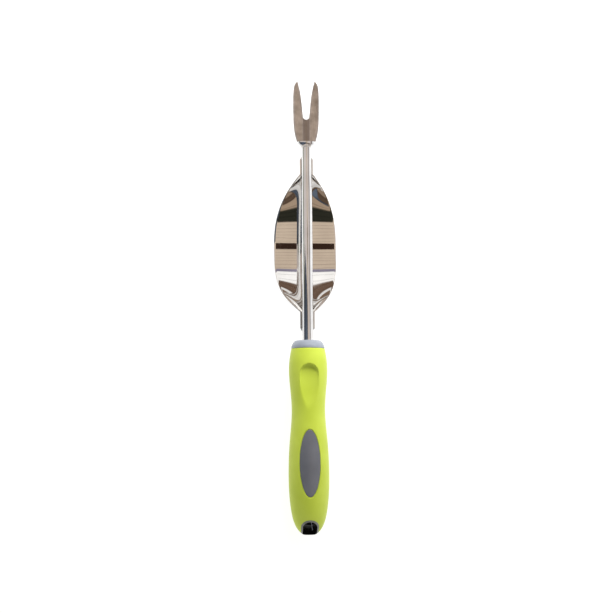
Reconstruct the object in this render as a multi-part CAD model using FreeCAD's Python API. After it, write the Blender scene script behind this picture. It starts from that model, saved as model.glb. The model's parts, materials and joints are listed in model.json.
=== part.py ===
import FreeCAD, Part
import math
import os

# A stainless hand weeder: a two-pronged fork on a tubular shaft, a bowed leverage plate behind the
# shaft, and an overmoulded handle. Millimetres. Each sub-part is built in the tool's own frame: the
# shaft lies along Y from the butt of the handle at 0 to the fork, +Z is the thumb side, X is across.
# The finished tool is then laid on its back, resting on the plate and on the belly of the handle.

Vector = FreeCAD.Vector

# Stations along the shaft, measured from the butt of the handle
overall_length = 340.0
blade_length = 46.0
shoulder_length = 3.7
handle_length = 144.4

# Fork: its edges are given as (share of the blade's length, half width)
blade_outer_edge = [
    (0.0, 7.0),
    (0.16, 8.75),
    (0.38, 9.55),
    (0.64, 9.7),
    (0.857, 9.35),
    (0.952, 8.25),
    (1.0, 6.5),
]
prong_inner_edge = [
    (1.0, 6.5),
    (0.82, 4.5),
    (0.578, 3.1),
]
blade_thickness = 2.6
tip_thickness = 1.0
tip_rise = 1.8
bend_share = 0.55
notch_radius = 2.4
notch_length = 29.0
trough_width = 5.2
trough_depth = 0.5
shoulder_half_width = 6.6
shoulder_half_height = 4.1
shoulder_roundness = 1.22
tang_length = 18.0
tang_clearance = 0.05

# Shaft tube
tube_diameter = 8.2
neck_diameter = 7.3
tube_wall = 0.8
neck_length = 21.0
swage_length = 15.0
insert_length = 66.4

# Fulcrum plate
plate_thickness = 1.5
plate_half_width = 23.8
plate_bow = 18.0
plate_front_gap = 8.6
plate_rear_gap = 8.4
front_tab_length = 12.0
rear_tab_length = 13.0
front_fullness = 2.5
rear_fullness = 3.6
tab_clearance = 0.2
tab_least_clearance = 0.05
tab_wrap_deg = 78.0
tab_end_wrap_deg = 62.0
tab_end_rounding = 1.5
plate_dish_deg = 3.4
curl_sharpness = 7.0
bow_sharpness = 1.5
sections_per_side = 9
section_crowding = 1.35

# Weld beads
weld_leg = 1.4
weld_fullness = 0.62
neck_weld_radius = 0.7

# Handle: stations from the butt, with the half width and half depth there
handle_outline = [
    (0.25, 1.9, 1.8),
    (2.0, 5.4, 5.1),
    (5.0, 8.5, 8.0),
    (11.0, 11.5, 10.9),
    (20.0, 13.5, 12.9),
    (46.0, 15.05, 14.6),
    (70.0, 14.0, 13.5),
    (92.0, 12.4, 11.8),
    (106.0, 13.15, 12.4),
    (119.0, 14.2, 13.3),
    (131.0, 13.7, 12.9),
]
butt_rounding_end = 20.0
smallest_section = 0.8
sleeve_front_half_width = 12.45
handle_depth_ratio = 0.95
sleeve_thickness = 2.4
collar_length = 6.2
collar_front_half_width = 9.6
collar_crown = 1.1
collar_crown_share = 0.62
collar_spigot_length = 5.0
collar_spigot_wall = 3.0
collar_bore_clearance = 0.1

# Thumb scoop
scoop_tail_station = 95.0
scoop_head_station = 126.2
scoop_depth = 3.9
scoop_radius = 14.0
scoop_head_radius = 7.6
scoop_skin = 1.4

# Oval badge
badge_station = 53.4
badge_length = 49.4
badge_width = 15.4
badge_pocket_depth = 1.5
badge_recess = 0.2
badge_clearance = 0.1

# Hang hole: a slanted round bore that opens at the butt in a longer mouth
hole_bore_diameter = 10.6
hole_rim_width = 1.3
hole_tilt_deg = 50.0
hole_station = 7.1
hole_height = 6.8
mouth_stretch = 6.5
mouth_depth = 6.0
butt_eye_length = 18.0

# Retaining pin
pin_diameter = 3.0
pin_length = 18.0
pin_clearance = 0.05
pin_from_tube_end = 10.0

# Values worked out from the sizes above
tube_radius = tube_diameter / 2
neck_radius = neck_diameter / 2
blade_root = overall_length - blade_length
neck_station = blade_root - shoulder_length
neck_start = neck_station - neck_length
swage_start = neck_start - swage_length
tube_start = handle_length - insert_length
front_tab_end = neck_station - plate_front_gap
rear_tab_end = handle_length + plate_rear_gap
front_tab_radius = neck_radius + tab_clearance
rear_tab_radius = tube_radius + tab_clearance
notch_centre = overall_length - notch_length + notch_radius
sleeve_front = handle_length - collar_length
cut_margin = 1.0
big = 400.0


def cylinder_along_y(radius, start, end):
    return Part.makeCylinder(radius, end - start, Vector(0, start, 0), Vector(0, 1, 0))


def slab(start, end):
    """Everything between two stations."""
    return Part.makeBox(big, end - start, big, Vector(-big / 2, start, -big / 2))


def spline(points):
    curve = Part.BSplineCurve()
    curve.interpolate(points)
    return curve.toShape()


def ring_profile(points):
    """A turned solid about the shaft's line from (station, radius) corners."""
    corners = [Vector(radius, station, 0) for station, radius in points]
    face = Part.Face(Part.makePolygon(corners + corners[:1]))
    return face.revolve(Vector(0, 0, 0), Vector(0, 1, 0), 360)


def scaled(shape, across, along, up):
    matrix = FreeCAD.Matrix()
    matrix.scale(Vector(across, along, up))
    return shape.transformGeometry(matrix)


# Fork head

def blade_outline():
    def placed(edge):
        return [Vector(half_width, blade_root + share * blade_length, 0) for share, half_width in edge]

    def mirrored(points):
        return [Vector(-p.x, p.y, 0) for p in reversed(points)]

    outer = placed(blade_outer_edge)
    inner = placed(prong_inner_edge) + [Vector(notch_radius, notch_centre, 0)]
    notch_bottom = Vector(0, notch_centre - notch_radius, 0)
    notch = Part.Arc(inner[-1], notch_bottom, mirrored(inner)[0]).toShape()
    root = Part.makeLine(mirrored(outer)[-1], outer[0])
    return Part.Wire([spline(outer), spline(inner), notch, spline(mirrored(inner)), spline(mirrored(outer)), root])


def blade_side_slab():
    """The blade's thickness seen from the side: level at the root, thinner and raised at the tips."""
    root_top = blade_thickness / 2
    tip_top = tip_rise + tip_thickness / 2
    tip_bottom = tip_rise - tip_thickness / 2
    middle = blade_root + bend_share * blade_length
    past_tip = overall_length + cut_margin

    def at(station, height):
        return Vector(-big / 2, station, height)

    top = spline([at(blade_root, root_top), at(middle, root_top), at(past_tip, tip_top)])
    front = Part.makeLine(at(past_tip, tip_top), at(past_tip, tip_bottom))
    bottom = spline([at(past_tip, tip_bottom), at(middle, -root_top), at(blade_root, -root_top)])
    back = Part.makeLine(at(blade_root, -root_top), at(blade_root, root_top))
    return Part.Face(Part.Wire([top, front, bottom, back])).extrude(Vector(big, 0, 0))


def fork_head():
    plan = Part.Face(blade_outline()).extrude(Vector(0, 0, big))
    plan.translate(Vector(0, 0, -big / 2))
    blade = plan.common(blade_side_slab())
    trough_radius = trough_width ** 2 / (8 * trough_depth)
    trough = cylinder_along_y(trough_radius, blade_root - cut_margin, notch_centre + cut_margin)
    trough.translate(Vector(0, 0, blade_thickness / 2 - trough_depth + trough_radius))
    blade = blade.cut(trough)
    dome_length = shoulder_roundness * shoulder_length
    dome = scaled(Part.makeSphere(1), shoulder_half_width, dome_length, shoulder_half_height)
    dome.translate(Vector(0, blade_root, 0))
    shoulder = dome.common(slab(neck_station, blade_root))
    neck = cylinder_along_y(neck_radius, neck_station, blade_root)
    tang_radius = neck_radius - tube_wall - tang_clearance
    tang = cylinder_along_y(tang_radius, neck_station - tang_length, neck_station)
    return blade.fuse([shoulder, neck, tang]).removeSplitter()


def fork_neck_weld():
    """A polished bead round the joint between the tube's end and the shoulder."""
    centre = Vector(0, neck_station, 0)
    bead = Part.makeTorus(neck_radius, neck_weld_radius, centre, Vector(0, 1, 0))
    solid_neck = cylinder_along_y(neck_radius, neck_station - shoulder_length, blade_root)
    return bead.cut([solid_neck, fork_head()])


# Shaft tube

def tube_outline():
    return [
        (tube_start, tube_radius),
        (swage_start, tube_radius),
        (neck_start, neck_radius),
        (neck_station, neck_radius),
    ]


def shaft_tube():
    outer = tube_outline()
    inner = [(station, radius - tube_wall) for station, radius in reversed(outer)]
    return ring_profile(outer + inner).cut(pin(pin_clearance))


# Fulcrum plate

def plate_section(station, inner_radius, wrap_deg, low_point):
    """A closed curved strip across the plate: inner arc, edge, outer arc, edge."""
    centre = low_point + inner_radius
    outer_radius = inner_radius + plate_thickness

    def at(radius, angle_deg):
        angle = math.radians(angle_deg)
        return Vector(radius * math.sin(angle), station, centre - radius * math.cos(angle))

    inner = Part.Arc(at(inner_radius, -wrap_deg), at(inner_radius, 0), at(inner_radius, wrap_deg))
    outer = Part.Arc(at(outer_radius, wrap_deg), at(outer_radius, 0), at(outer_radius, -wrap_deg))
    right = Part.makeLine(at(inner_radius, wrap_deg), at(outer_radius, wrap_deg))
    left = Part.makeLine(at(outer_radius, -wrap_deg), at(inner_radius, -wrap_deg))
    return Part.Wire([inner.toShape(), right, outer.toShape(), left])


def plate_side(middle, tab_start, tab_end, tab_radius, fullness):
    """Sections from just off the middle of the bow out to the end of one tab."""
    tab_half_width = (tab_radius + plate_thickness) * math.sin(math.radians(tab_wrap_deg))
    sections = []
    for step in range(1, sections_per_side + 1):
        share = 1 - (1 - step / sections_per_side) ** section_crowding
        half_width = tab_half_width + (plate_half_width - tab_half_width) * (1 - share ** fullness)
        wrap_deg = plate_dish_deg + (tab_wrap_deg - plate_dish_deg) * share ** curl_sharpness
        inner_radius = half_width / math.sin(math.radians(wrap_deg)) - plate_thickness
        low_point = -tab_radius - plate_bow * (1 - share ** 2) ** bow_sharpness
        station = middle + (tab_start - middle) * share
        sections.append(plate_section(station, inner_radius, wrap_deg, low_point))
    direction = math.copysign(1, tab_end - tab_start)
    for station, wrap_deg in [
        (0.5 * (tab_start + tab_end), tab_wrap_deg),
        (tab_end - direction * tab_end_rounding, tab_wrap_deg),
        (tab_end, tab_end_wrap_deg),
    ]:
        sections.append(plate_section(station, tab_radius, wrap_deg, -tab_radius))
    return sections


def fulcrum_plate():
    front_tab_start = front_tab_end - front_tab_length
    rear_tab_start = rear_tab_end + rear_tab_length
    middle = 0.5 * (front_tab_start + rear_tab_start)
    mean_tab_radius = 0.5 * (front_tab_radius + rear_tab_radius)
    middle_radius = plate_half_width / math.sin(math.radians(plate_dish_deg)) - plate_thickness
    centre = plate_section(middle, middle_radius, plate_dish_deg, -mean_tab_radius - plate_bow)
    rear = plate_side(middle, rear_tab_start, rear_tab_end, rear_tab_radius, rear_fullness)
    front = plate_side(middle, front_tab_start, front_tab_end, front_tab_radius, front_fullness)
    pressed = Part.makeLoft(list(reversed(rear)) + [centre] + front, True, False)
    formed_round = [(station, radius + tab_least_clearance) for station, radius in tube_outline()]
    return pressed.cut(ring_profile([(tube_start, 0)] + formed_round + [(neck_station, 0)]))


def tab_weld(radius, station, direction):
    """A fillet bead in the corner between a tab's end face and the back of the tube."""
    leg = weld_leg * direction
    corners = [
        Vector(0, station, -radius),
        Vector(0, station + leg, -radius),
        Vector(0, station, -radius - weld_leg),
    ]
    crown = Vector(0, station + weld_fullness * leg, -radius - weld_fullness * weld_leg)
    bow = Part.Arc(corners[1], crown, corners[2])
    sides = [Part.makeLine(corners[0], corners[1]), bow.toShape(), Part.makeLine(corners[2], corners[0])]
    bead = Part.Face(Part.Wire(sides)).revolve(Vector(0, 0, 0), Vector(0, 1, 0), 2 * tab_end_wrap_deg)
    bead.rotate(Vector(0, 0, 0), Vector(0, 1, 0), -tab_end_wrap_deg)
    return bead


def front_plate_weld():
    return tab_weld(neck_radius, front_tab_end, 1)


def rear_plate_weld():
    return tab_weld(tube_radius, rear_tab_end, -1)


# Handle

def oval_section(station, half_width, half_depth):
    ellipse = Part.Ellipse(Vector(0, 0, 0), half_width, half_depth).toShape()
    wire = Part.Wire([ellipse])
    wire.rotate(Vector(0, 0, 0), Vector(1, 0, 0), 90)
    wire.translate(Vector(0, station, 0))
    return wire


def handle_body(inset):
    """The handle's outer form, shrunk by inset, from the butt to the collar."""
    mouth = (sleeve_front, sleeve_front_half_width, sleeve_front_half_width * handle_depth_ratio)
    sections = []
    for station, half_width, half_depth in handle_outline + [mouth]:
        moved = station + inset * (1 - min(station / butt_rounding_end, 1))
        across = max(half_width - inset, smallest_section)
        up = max(half_depth - inset, handle_depth_ratio * smallest_section)
        sections.append(oval_section(moved, across, up))
    return Part.makeLoft(sections, True, False)


def half_depth_at(station):
    """The handle's half depth between two of its stations, in a straight line."""
    for (before, _, low), (after, _, high) in zip(handle_outline, handle_outline[1:]):
        if before <= station <= after:
            return low + (high - low) * (station - before) / (after - before)
    return handle_outline[-1][2]


def thumb_scoop(grow):
    """A tilted round-bottomed trough with a round, steep head towards the fork."""
    head_surface = half_depth_at(scoop_head_station)
    tail_surface = half_depth_at(scoop_tail_station)
    run = scoop_head_station - scoop_tail_station
    drop = head_surface - scoop_depth - tail_surface
    direction = Vector(0, run, drop)
    start = Vector(0, scoop_tail_station, tail_surface + scoop_radius) - direction
    trough = Part.makeCylinder(scoop_radius + grow, 3 * direction.Length, start, direction)
    head_centre = Vector(0, scoop_head_station - scoop_head_radius, 0)
    head = Part.makeCylinder(scoop_head_radius + grow, big, head_centre)
    tail_width = 2 * (scoop_head_radius + grow)
    tail = Part.makeBox(tail_width, run, big, head_centre - Vector(tail_width / 2, run, 0))
    return trough.common(head.fuse(tail))


def badge_oval(clearance):
    """An upright oval column through the thumb side, for the badge and for its pocket."""
    ellipse = Part.Ellipse(Vector(0, 0, 0), badge_length / 2 - clearance, badge_width / 2 - clearance)
    column = Part.Face(Part.Wire([ellipse.toShape()])).extrude(Vector(0, 0, big))
    column.rotate(Vector(0, 0, 0), Vector(0, 0, 1), 90)
    column.translate(Vector(0, badge_station, 0))
    return column


def badge_pocket():
    shell = handle_body(-cut_margin).cut(handle_body(badge_pocket_depth))
    return shell.common(badge_oval(0))


def oval_badge():
    shell = handle_body(badge_recess).cut(handle_body(badge_pocket_depth))
    return shell.common(badge_oval(badge_clearance))


def hole_outward():
    tilt = math.radians(hole_tilt_deg)
    return Vector(0, -math.sin(tilt), math.cos(tilt))


def hole_shape(grow):
    """The hang hole as a solid: a round bore, and a mouth stretched round the end of the butt."""
    radius = hole_bore_diameter / 2 + grow
    outward = hole_outward()
    towards_butt = Vector(0, -outward.z, outward.y)
    bore_place = Vector(0, hole_station, hole_height)
    bore = Part.makeCylinder(radius, big, bore_place - outward * (big / 2), outward)
    near_floor = bore_place - outward * (mouth_depth + grow)
    far_floor = near_floor + towards_butt * mouth_stretch
    far_end = Part.makeCylinder(radius, big, far_floor, outward)
    side = Vector(radius, 0, 0)
    corners = [near_floor - side, near_floor + side, far_floor + side, far_floor - side]
    between = Part.Face(Part.makePolygon(corners + corners[:1])).extrude(outward * big)
    return bore.fuse([far_end, between])


def butt_end():
    """The space inside the sleeve, behind the core, that the eye moulding fills."""
    return handle_body(sleeve_thickness).common(slab(0, butt_eye_length))


def hang_hole_eye():
    rim = hole_shape(hole_rim_width).common(handle_body(0))
    return rim.fuse(butt_end()).cut(hole_shape(0))


def pin(clearance):
    end = Vector(-pin_length / 2, tube_start + pin_from_tube_end, 0)
    return Part.makeCylinder(pin_diameter / 2 + clearance, pin_length, end, Vector(1, 0, 0))


def collar_spigot(start, end):
    return cylinder_along_y(tube_radius + collar_spigot_wall, start, end)


def handle_core():
    core = handle_body(sleeve_thickness).cut(thumb_scoop(scoop_skin))
    core = core.cut(cylinder_along_y(tube_radius, tube_start, big))
    core = core.cut(collar_spigot(sleeve_front - collar_spigot_length, big))
    return core.cut([butt_end(), hole_shape(hole_rim_width), pin(pin_clearance)])


def grip_sleeve():
    inside = handle_body(sleeve_thickness).cut(thumb_scoop(scoop_skin))
    sleeve = handle_body(0).cut(thumb_scoop(0))
    return sleeve.cut([inside, badge_pocket()]).cut(hole_shape(hole_rim_width))


def front_collar():
    """A domed ring that closes the handle's mouth, with a spigot pressed into the core."""
    base = Vector(sleeve_front_half_width, sleeve_front, 0)
    mean_half_width = 0.5 * (sleeve_front_half_width + collar_front_half_width)
    crown = Vector(mean_half_width + collar_crown, sleeve_front + collar_crown_share * collar_length, 0)
    lip = Vector(collar_front_half_width, handle_length, 0)
    edge = Part.Arc(base, crown, lip).toShape()
    front = Part.makeLine(lip, Vector(0, handle_length, 0))
    axis = Part.makeLine(Vector(0, handle_length, 0), Vector(0, sleeve_front, 0))
    back = Part.makeLine(Vector(0, sleeve_front, 0), base)
    dome = Part.Face(Part.Wire([edge, front, axis, back])).revolve(Vector(0, 0, 0), Vector(0, 1, 0), 360)
    dome = scaled(dome, 1, 1, handle_depth_ratio)
    spigot = collar_spigot(sleeve_front - collar_spigot_length, sleeve_front + cut_margin)
    bore = cylinder_along_y(tube_radius + collar_bore_clearance, 0, big)
    return dome.fuse(spigot).cut(bore)


# The tool laid on its back
most_lean_deg = 12.0
halvings = 16


def lowest(shape, tilt_deg):
    turned = shape.copy()
    turned.rotate(Vector(0, 0, 0), Vector(1, 0, 0), tilt_deg)
    return turned.optimalBoundingBox(False, False).ZMin


def rest_tilt(front_contact, rear_contact):
    """The lean at which the plate and the belly of the handle touch the same level surface."""
    low, high = 0.0, most_lean_deg
    for _ in range(halvings):
        middle = 0.5 * (low + high)
        if lowest(front_contact, middle) < lowest(rear_contact, middle):
            low = middle
        else:
            high = middle
    return 0.5 * (low + high)


parts = {
    "fork_head": fork_head(),
    "fork_neck_weld": fork_neck_weld(),
    "shaft_tube": shaft_tube(),
    "fulcrum_plate": fulcrum_plate(),
    "front_plate_weld": front_plate_weld(),
    "rear_plate_weld": rear_plate_weld(),
    "front_collar": front_collar(),
    "handle_core": handle_core(),
    "grip_sleeve": grip_sleeve(),
    "oval_badge": oval_badge(),
    "hang_hole_eye": hang_hole_eye(),
    "shaft_retaining_pin": pin(0),
}

tilt = rest_tilt(parts["fulcrum_plate"], parts["grip_sleeve"])
for shape in parts.values():
    shape.rotate(Vector(0, 0, 0), Vector(1, 0, 0), tilt)
bounds = Part.makeCompound(list(parts.values())).optimalBoundingBox(False, False)
shift = Vector(0, -(bounds.YMin + bounds.YMax) / 2, -bounds.ZMin)

os.makedirs("parts", exist_ok=True)
for name, shape in parts.items():
    shape.translate(shift)
    shape.exportStep("parts/" + name + ".step")
    print(name, len(shape.Solids), shape.isValid(), round(shape.Volume, 1))
print("lean_deg", tilt, "shift_mm", shift.y, shift.z)
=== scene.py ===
import bpy
import bmesh
import json
import math
from mathutils import Matrix, Vector


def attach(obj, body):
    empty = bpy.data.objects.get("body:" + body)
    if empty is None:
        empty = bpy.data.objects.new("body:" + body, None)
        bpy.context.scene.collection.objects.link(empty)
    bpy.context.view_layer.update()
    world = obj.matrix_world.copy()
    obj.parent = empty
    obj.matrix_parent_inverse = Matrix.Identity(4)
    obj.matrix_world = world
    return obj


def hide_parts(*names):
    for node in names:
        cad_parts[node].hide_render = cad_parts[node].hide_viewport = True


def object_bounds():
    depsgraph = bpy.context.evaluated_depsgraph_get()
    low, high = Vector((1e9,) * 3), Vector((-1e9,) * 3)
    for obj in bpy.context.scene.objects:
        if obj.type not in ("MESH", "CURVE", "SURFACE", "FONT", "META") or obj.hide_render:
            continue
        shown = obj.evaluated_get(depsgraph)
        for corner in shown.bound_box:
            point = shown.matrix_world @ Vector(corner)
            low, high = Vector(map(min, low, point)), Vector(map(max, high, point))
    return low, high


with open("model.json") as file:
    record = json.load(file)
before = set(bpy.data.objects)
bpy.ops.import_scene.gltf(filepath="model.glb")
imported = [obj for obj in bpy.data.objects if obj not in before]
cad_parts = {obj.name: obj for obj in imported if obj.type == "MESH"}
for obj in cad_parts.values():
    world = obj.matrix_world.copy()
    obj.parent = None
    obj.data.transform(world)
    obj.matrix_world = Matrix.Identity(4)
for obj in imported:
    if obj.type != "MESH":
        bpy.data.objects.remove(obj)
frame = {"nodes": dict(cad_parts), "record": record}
cad_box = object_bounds()

# A stainless hand weeder with a bowed leverage plate and a soft-grip handle, lying on its back.
# Pieces are shaped in the tool's own frame, in millimetres: Y runs along the shaft from the butt of
# the handle at 0 to the fork, Z is the thumb side, X is across. as_laid() then puts them in the row.
MM = 0.001

# Stations along the shaft, from the butt
FORK_TIP = 340.0
BLADE_ROOT = 294.0
NECK = 290.3
COLLAR_FRONT = 144.4
SLEEVE_FRONT = 138.2
PLATE_FRONT_TAB = (269.7, 281.7)
PLATE_REAR_TAB = (165.8, 152.8)
TUBE_PROFILE = [(78.0, 4.1), (254.3, 4.1), (269.3, 3.65), (NECK, 3.65)]
TUBE_WALL = 0.8

# Fork: its edges as (share of the blade's length, half width)
BLADE_OUTER_EDGE = [(0.0, 7.0), (0.16, 8.75), (0.38, 9.55), (0.64, 9.7), (0.857, 9.35), (0.952, 8.25),
                    (1.0, 6.5)]
PRONG_INNER_EDGE = [(1.0, 6.5), (0.82, 4.5), (0.578, 3.1)]
BLADE_THICKNESS = 2.6
TIP_THICKNESS = 1.0
TIP_RISE = 1.8
BEND_SHARE = 0.55
NOTCH_RADIUS = 2.4
NOTCH_BOTTOM = FORK_TIP - 29.0
TROUGH_WIDTH = 5.2
TROUGH_DEPTH = 0.5
EDGE_GRIND = 1.3
EDGE_GRIND_DEPTH = 0.4
GROUND_EDGE = 0.22
SHOULDER_RADIUS = 6.6
SHOULDER_DEPTH = 4.1
DOME_FULLNESS = 1.22
NECK_SPIGOT_LENGTH = 5.0
NECK_SPIGOT_RADIUS = 2.8
NECK_LAND_RADIUS = 3.63

# Handle: station, half width, half depth
HANDLE_OUTLINE = [
    (0.25, 1.9, 1.8), (2.0, 5.4, 5.1), (5.0, 8.5, 8.0), (11.0, 11.5, 10.9), (20.0, 13.5, 12.9),
    (46.0, 15.05, 14.6), (70.0, 14.0, 13.5), (92.0, 12.4, 11.8), (106.0, 13.15, 12.4),
    (119.0, 14.2, 13.3), (131.0, 13.7, 12.9), (SLEEVE_FRONT, 12.45, 11.83),
]

# Hang hole: where its bore passes in the tool's frame, and how far it leans back
HOLE_TILT = math.radians(50.0)
HOLE_PLACE = Vector((0, 7.1, 6.8))
HOLE_RADIUS = 5.3
HOLE_RIM = 1.3
MOUTH_STRETCH = 6.5
MOUTH_DEPTH = 6.0
HOLE_OUT = Vector((0, -math.sin(HOLE_TILT), math.cos(HOLE_TILT)))
HOLE_TO_BUTT = Vector((0, -math.cos(HOLE_TILT), -math.sin(HOLE_TILT)))

# The row's own hang hole says where the tool lies and how far it leans
BORE_MIDDLE_DEPTH = 19.313
BORE_MIDDLE = HOLE_PLACE - HOLE_OUT * BORE_MIDDLE_DEPTH
hole = frame["record"]["mounts"][0]
lean = math.atan2(-hole["axis"][1], hole["axis"][2]) - HOLE_TILT
LAID = (Matrix.Translation(Vector(hole["pos_m"])) @ Matrix.Rotation(lean, 4, "X")
        @ Matrix.Scale(MM, 4) @ Matrix.Translation(-BORE_MIDDLE))
HOLE_OUT_LAID = Matrix.Rotation(lean, 3, "X") @ HOLE_OUT


def as_laid(point):
    return LAID @ Vector(point)


# Materials

def colour(hex_code):
    """sRGB hex to the linear values that the shader works in."""
    parts = [int(hex_code[i:i + 2], 16) / 255 for i in (1, 3, 5)]
    return tuple(c / 12.92 if c <= 0.04045 else ((c + 0.055) / 1.055) ** 2.4 for c in parts) + (1.0,)


def add(tree, kind, links=(), stops=(), **settings):
    """One node with its settings, its colour stops, and its inputs linked to the sockets given."""
    node = tree.nodes.new(kind)
    for name, value in settings.items():
        if hasattr(node, name):
            setattr(node, name, value)
        else:
            node.inputs[name.replace("_", " ")].default_value = value
    if stops:
        elements = node.color_ramp.elements
        while len(elements) < len(stops):
            elements.new(1.0)
        for element, (place, value) in zip(elements, stops):
            element.position = place
            element.color = colour(value) if isinstance(value, str) else (value, value, value, 1.0)
    for socket, source in dict(links).items():
        tree.links.new(source, node.inputs[socket])
    return node


def bare_material(name):
    made = bpy.data.materials.new(name)
    made.use_nodes = True
    made.node_tree.nodes.clear()
    return made, made.node_tree


def surfaced(made, tree, shader):
    add(tree, "ShaderNodeOutputMaterial", {"Surface": shader.outputs["BSDF"]})
    return made


def polished_stainless_tube():
    """Drawn and buffed 304 tube: close to a mirror, with hair-fine buffing lines along the draw."""
    made, tree = bare_material("buffed_stainless_tube")
    place = add(tree, "ShaderNodeTexCoord").outputs["Object"]
    # buffing lines about 0.3 mm apart and 12 mm long
    drawn = add(tree, "ShaderNodeMapping", {"Vector": place}, Scale=(3300, 80, 3300)).outputs["Vector"]
    lines = add(tree, "ShaderNodeTexNoise", {"Vector": drawn}, Scale=1.0, Detail=3.0).outputs["Fac"]
    haze = add(tree, "ShaderNodeTexNoise", {"Vector": place}, Scale=70.0, Detail=4.0).outputs["Fac"]
    tint = add(tree, "ShaderNodeValToRGB", {"Fac": haze}, [(0.3, "#d2d1d1"), (0.7, "#e0dfde")])
    rough = add(tree, "ShaderNodeMapRange", {"Value": lines}, From_Min=0.3, From_Max=0.7,
                To_Min=0.05, To_Max=0.13)
    bump = add(tree, "ShaderNodeBump", {"Height": lines}, Strength=0.06, Distance=0.00002)
    shader = add(tree, "ShaderNodeBsdfPrincipled",
                 {"Base Color": tint.outputs["Color"], "Roughness": rough.outputs["Result"],
                  "Normal": bump.outputs["Normal"]}, Metallic=1.0)
    return surfaced(made, tree, shader)


def mirror_polished_sheet():
    """Pressed sheet, mirror polished: sharp reflections, a little orange peel and fine handling haze."""
    made, tree = bare_material("mirror_polished_stainless_sheet")
    place = add(tree, "ShaderNodeTexCoord").outputs["Object"]
    peel = add(tree, "ShaderNodeTexNoise", {"Vector": place}, Scale=260.0, Detail=2.0).outputs["Fac"]
    haze = add(tree, "ShaderNodeTexNoise", {"Vector": place}, Scale=48.0, Detail=5.0).outputs["Fac"]
    tint = add(tree, "ShaderNodeValToRGB", {"Fac": haze}, [(0.3, "#d6d3cf"), (0.7, "#e4e1dd")])
    rough = add(tree, "ShaderNodeMapRange", {"Value": haze}, From_Min=0.35, From_Max=0.75,
                To_Min=0.02, To_Max=0.07)
    bump = add(tree, "ShaderNodeBump", {"Height": peel}, Strength=0.03, Distance=0.00004)
    shader = add(tree, "ShaderNodeBsdfPrincipled",
                 {"Base Color": tint.outputs["Color"], "Roughness": rough.outputs["Result"],
                  "Normal": bump.outputs["Normal"]}, Metallic=1.0)
    return surfaced(made, tree, shader)


def linished_stainless():
    """Belt-linished blade: scratches along the prongs, a blurred brownish painted reflection in its colour,
    and a stamped trough painted darker brown as painted shade.
    """
    made, tree = bare_material("linished_stainless_blade")
    place = add(tree, "ShaderNodeTexCoord").outputs["Object"]
    # belt scratches about 0.3 mm apart, drawn four times coarser than 180 grit so that they show
    along = add(tree, "ShaderNodeMapping", {"Vector": place}, Scale=(3000, 90, 3000)).outputs["Vector"]
    grit = add(tree, "ShaderNodeTexNoise", {"Vector": along}, Scale=1.0, Detail=6.0,
               Roughness=0.65).outputs["Fac"]
    cloud = add(tree, "ShaderNodeTexNoise", {"Vector": place}, Scale=150.0, Detail=5.0).outputs["Fac"]
    # painted reflection: the steel's colour is tinted brown for brown surroundings mirrored in it, and varies
    # at random in patches
    brown_painted_reflection = add(tree, "ShaderNodeValToRGB", {"Fac": cloud}, [(0.3, "#a39a92"), (0.7, "#d0c8c1")])
    scratch = add(tree, "ShaderNodeValToRGB", {"Fac": grit}, [(0.3, 0.6), (0.62, 1.0)])
    ground = add(tree, "ShaderNodeMixRGB",
                 {"Color1": brown_painted_reflection.outputs["Color"], "Color2": scratch.outputs["Color"]},
                 blend_type="MULTIPLY", Fac=0.6)
    # painted shade: the recessed trough, up to the notch, is painted dark brown in patches
    parts = add(tree, "ShaderNodeSeparateXYZ", {"Vector": place}).outputs
    off_centre = add(tree, "ShaderNodeMath", {0: parts["X"]}, operation="ABSOLUTE").outputs[0]
    across = add(tree, "ShaderNodeMapRange", {"Value": off_centre}, From_Min=0.5 * TROUGH_WIDTH * MM,
                 From_Max=(0.5 * TROUGH_WIDTH - 0.4) * MM).outputs["Result"]
    trough_end = as_laid((0, NOTCH_BOTTOM, 0)).y
    length = add(tree, "ShaderNodeMapRange", {"Value": parts["Y"]}, From_Min=trough_end + 2 * MM,
                 From_Max=trough_end).outputs["Result"]
    trough_shade_mask = add(tree, "ShaderNodeMath", {0: across, 1: length}, operation="MULTIPLY").outputs[0]
    trough_shade = add(tree, "ShaderNodeMath", {0: trough_shade_mask, 1: cloud}, operation="MULTIPLY").outputs[0]
    # painted shade: dark brown over the trough
    tint = add(tree, "ShaderNodeMixRGB", {"Fac": trough_shade, "Color1": ground.outputs["Color"]},
               Color2=colour("#5e4c40"))
    rough = add(tree, "ShaderNodeMapRange", {"Value": grit}, To_Min=0.26, To_Max=0.44)
    bump = add(tree, "ShaderNodeBump", {"Height": grit}, Strength=0.3, Distance=0.00005)
    shader = add(tree, "ShaderNodeBsdfPrincipled",
                 {"Base Color": tint.outputs["Color"], "Roughness": rough.outputs["Result"],
                  "Normal": bump.outputs["Normal"]}, Metallic=1.0)
    return surfaced(made, tree, shader)


def weld_stainless():
    """Brushed-down TIG bead: shallow ripples about 2 mm apart, a satin pale straw to near white."""
    made, tree = bare_material("stainless_weld_bead")
    place = add(tree, "ShaderNodeTexCoord").outputs["Object"]
    ripple = add(tree, "ShaderNodeTexWave", {"Vector": place}, bands_direction="X", Scale=160.0,
                 Distortion=2.0, Detail=2.0).outputs["Fac"]
    heat = add(tree, "ShaderNodeTexNoise", {"Vector": place}, Scale=300.0, Detail=3.0).outputs["Fac"]
    tint = add(tree, "ShaderNodeValToRGB", {"Fac": heat}, [(0.3, "#cfc8c0"), (0.7, "#efedea")])
    rough = add(tree, "ShaderNodeMapRange", {"Value": ripple}, To_Min=0.3, To_Max=0.45)
    bump = add(tree, "ShaderNodeBump", {"Height": ripple}, Strength=0.15, Distance=0.0001)
    shader = add(tree, "ShaderNodeBsdfPrincipled",
                 {"Base Color": tint.outputs["Color"], "Roughness": rough.outputs["Result"],
                  "Normal": bump.outputs["Normal"]}, Metallic=1.0)
    return surfaced(made, tree, shader)


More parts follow.
